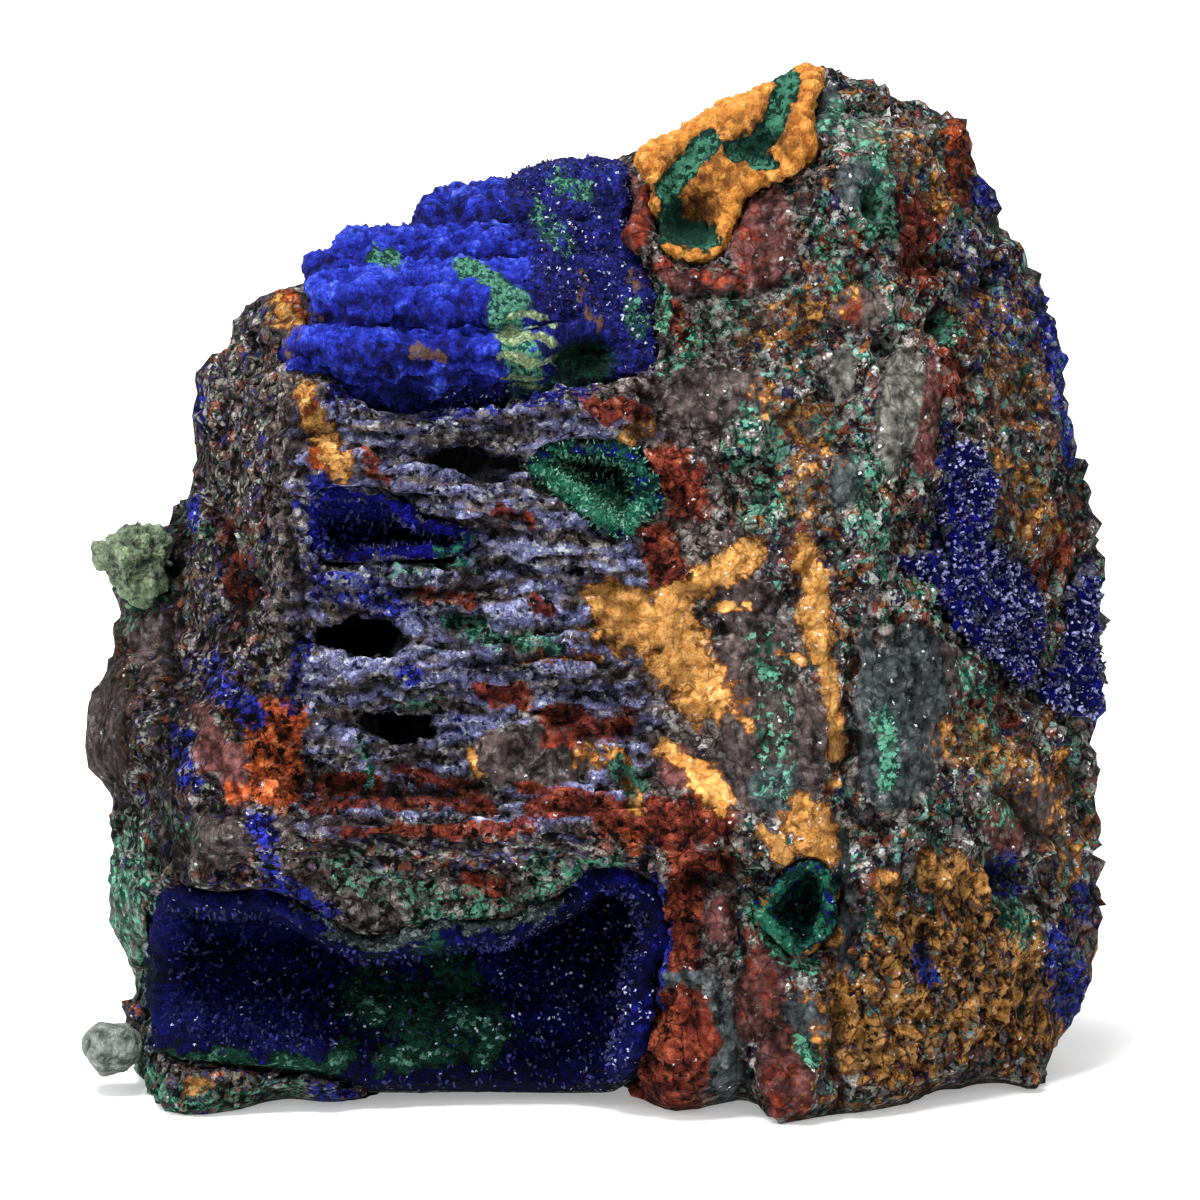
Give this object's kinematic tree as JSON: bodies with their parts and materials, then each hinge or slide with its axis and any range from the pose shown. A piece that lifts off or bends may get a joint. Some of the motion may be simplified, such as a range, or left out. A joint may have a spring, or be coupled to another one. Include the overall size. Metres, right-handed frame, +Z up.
{
  "type": "azurite and malachite specimen",
  "caption": "Hand-sized mineral specimen: iron-stained rock with blue azurite ledges, a crystal-lined low hollow and green pockets, standing on a flat base.",
  "frame": {"origin": "middle of the overall box in X and Y, at the table", "axes": "+Z up from the flat base; the pictured face looks along -Y; +X runs to the right seen from that side"},
  "size_m": [0.0724, 0.044, 0.0715],
  "materials": {
    "iron_stained_rock": "rough, iron-stained, with bands of grey, ochre and red",
    "azurite_terraces": "velvety blue crystals",
    "azurite_cave_lining": "sparkling dark blue druse with green needles",
    "malachite_pocket_lining": "velvety green",
    "azurite_slit_lining": "sparkling dark blue druse",
    "malachite_hollow_lining": "velvety dark green",
    "limonite_geode": "earthy ochre with green ribbons",
    "azurite_vein": "sparkling dark blue",
    "azurite_edge_crust": "sparkling dark blue",
    "malachite_tuft": "grey-green needles",
    "pale_plate_crystal": "pale and glassy"
  },
  "bodies": {
    "root": {"iron_stained_rock": "iron_stained_rock", "azurite_terraces": "azurite_terraces", "azurite_cave_lining": "azurite_cave_lining", "malachite_pocket_lining": "malachite_pocket_lining", "azurite_slit_lining": "azurite_slit_lining", "malachite_hollow_lining": "malachite_hollow_lining", "limonite_geode": "limonite_geode", "azurite_vein": "azurite_vein", "azurite_edge_crust": "azurite_edge_crust", "malachite_tuft": "malachite_tuft", "pale_plate_crystal": "pale_plate_crystal"}
  },
  "joints": []
}
